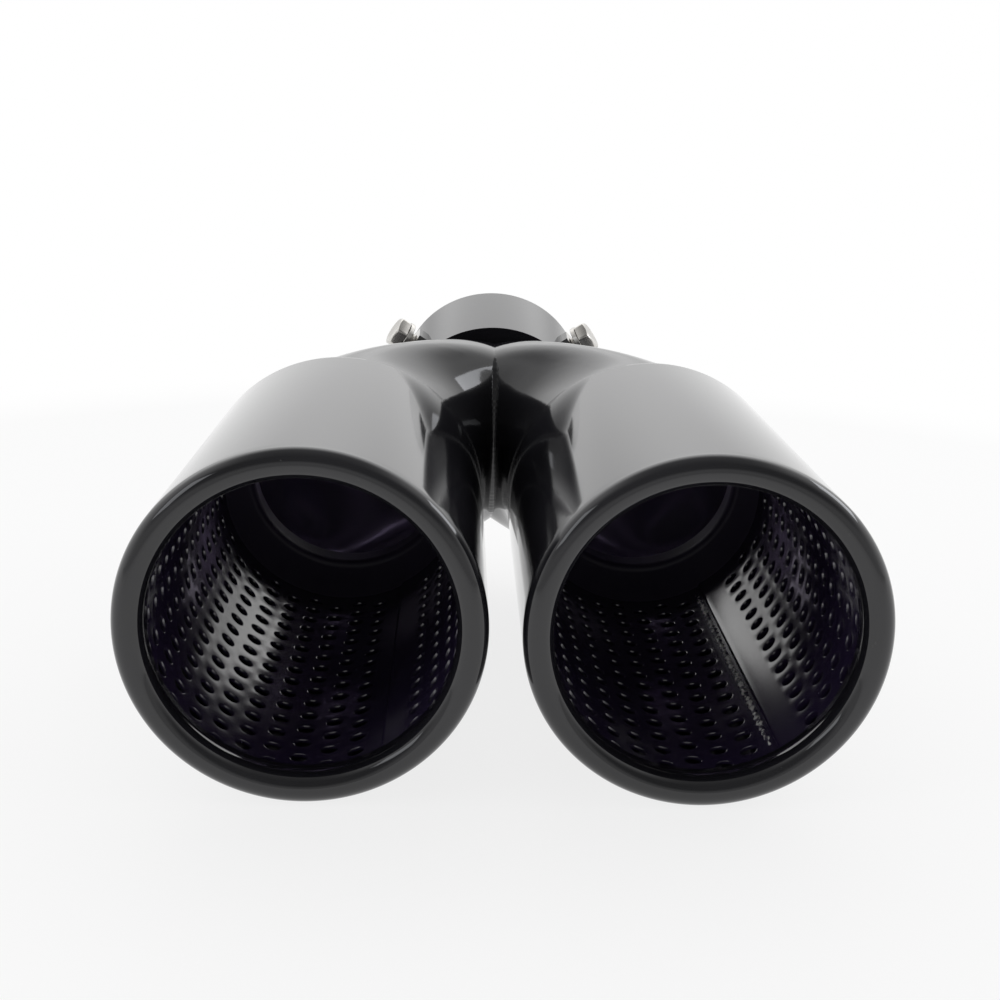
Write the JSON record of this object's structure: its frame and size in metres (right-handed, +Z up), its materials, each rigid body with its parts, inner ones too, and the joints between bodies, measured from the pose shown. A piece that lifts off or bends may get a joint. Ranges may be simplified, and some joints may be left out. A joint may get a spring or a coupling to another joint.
{
  "type": "twin exhaust tip",
  "caption": "Gloss-black twin-outlet exhaust tip: rolled-lip barrels with perforated liners, joined by a Y to a rising inlet tube with clamp bolts.",
  "frame": {"origin": "centre of the inlet tube's rear mouth, where the car's tail pipe goes in", "axes": "+Y to the rear of the inlet, so the outlets face -Y, +Z up, +X to the right seen from the outlets"},
  "size_m": [0.188, 0.2254, 0.1006],
  "materials": {
    "sleeve_paint": "gloss",
    "liner_paint": "gloss",
    "baffle_paint": "gloss",
    "branch_paint": "gloss",
    "inlet_paint": "gloss",
    "nut_paint": "gloss",
    "washer_steel": "satin",
    "bolt_steel": "satin"
  },
  "bodies": {
    "tip": {"left_sleeve": "sleeve_paint", "left_liner": "liner_paint", "left_baffle_ring": "baffle_paint", "left_branch": "branch_paint", "left_weld_nut": "nut_paint", "right_sleeve": "sleeve_paint", "right_liner": "liner_paint", "right_baffle_ring": "baffle_paint", "right_branch": "branch_paint", "right_weld_nut": "nut_paint", "inlet_tube": "inlet_paint"},
    "left_washer": {"left_spring_washer": "washer_steel"},
    "left_bolt": {"left_clamp_bolt": "bolt_steel"},
    "right_washer": {"right_spring_washer": "washer_steel"},
    "right_bolt": {"right_clamp_bolt": "bolt_steel"}
  },
  "joints": [
    {"name": "left_bolt_travel", "type": "slide", "parent": "tip", "child": "left_washer", "axis": [-0.8141, -0.1552, 0.5596], "range_m": [-0.0015, 0.003]},
    {"name": "left_bolt_turn", "type": "hinge", "parent": "left_washer", "child": "left_bolt", "pos_m": [-0.03273, -0.02407, 0.01755], "axis": [-0.8141, -0.1552, 0.5596], "range_deg": [-540, 1080]},
    {"name": "right_bolt_travel", "type": "slide", "parent": "tip", "child": "right_washer", "axis": [0.8141, -0.1552, 0.5596], "range_m": [-0.0015, 0.003]},
    {"name": "right_bolt_turn", "type": "hinge", "parent": "right_washer", "child": "right_bolt", "pos_m": [0.03224, -0.02397, 0.01722], "axis": [0.8141, -0.1552, 0.5596], "range_deg": [-540, 1080]}
  ],
  "couplings": [
    {"joint": "left_bolt_turn", "follows": "left_bolt_travel", "rad_per_m": 6283.2},
    {"joint": "right_bolt_turn", "follows": "right_bolt_travel", "rad_per_m": 6283.2}
  ]
}
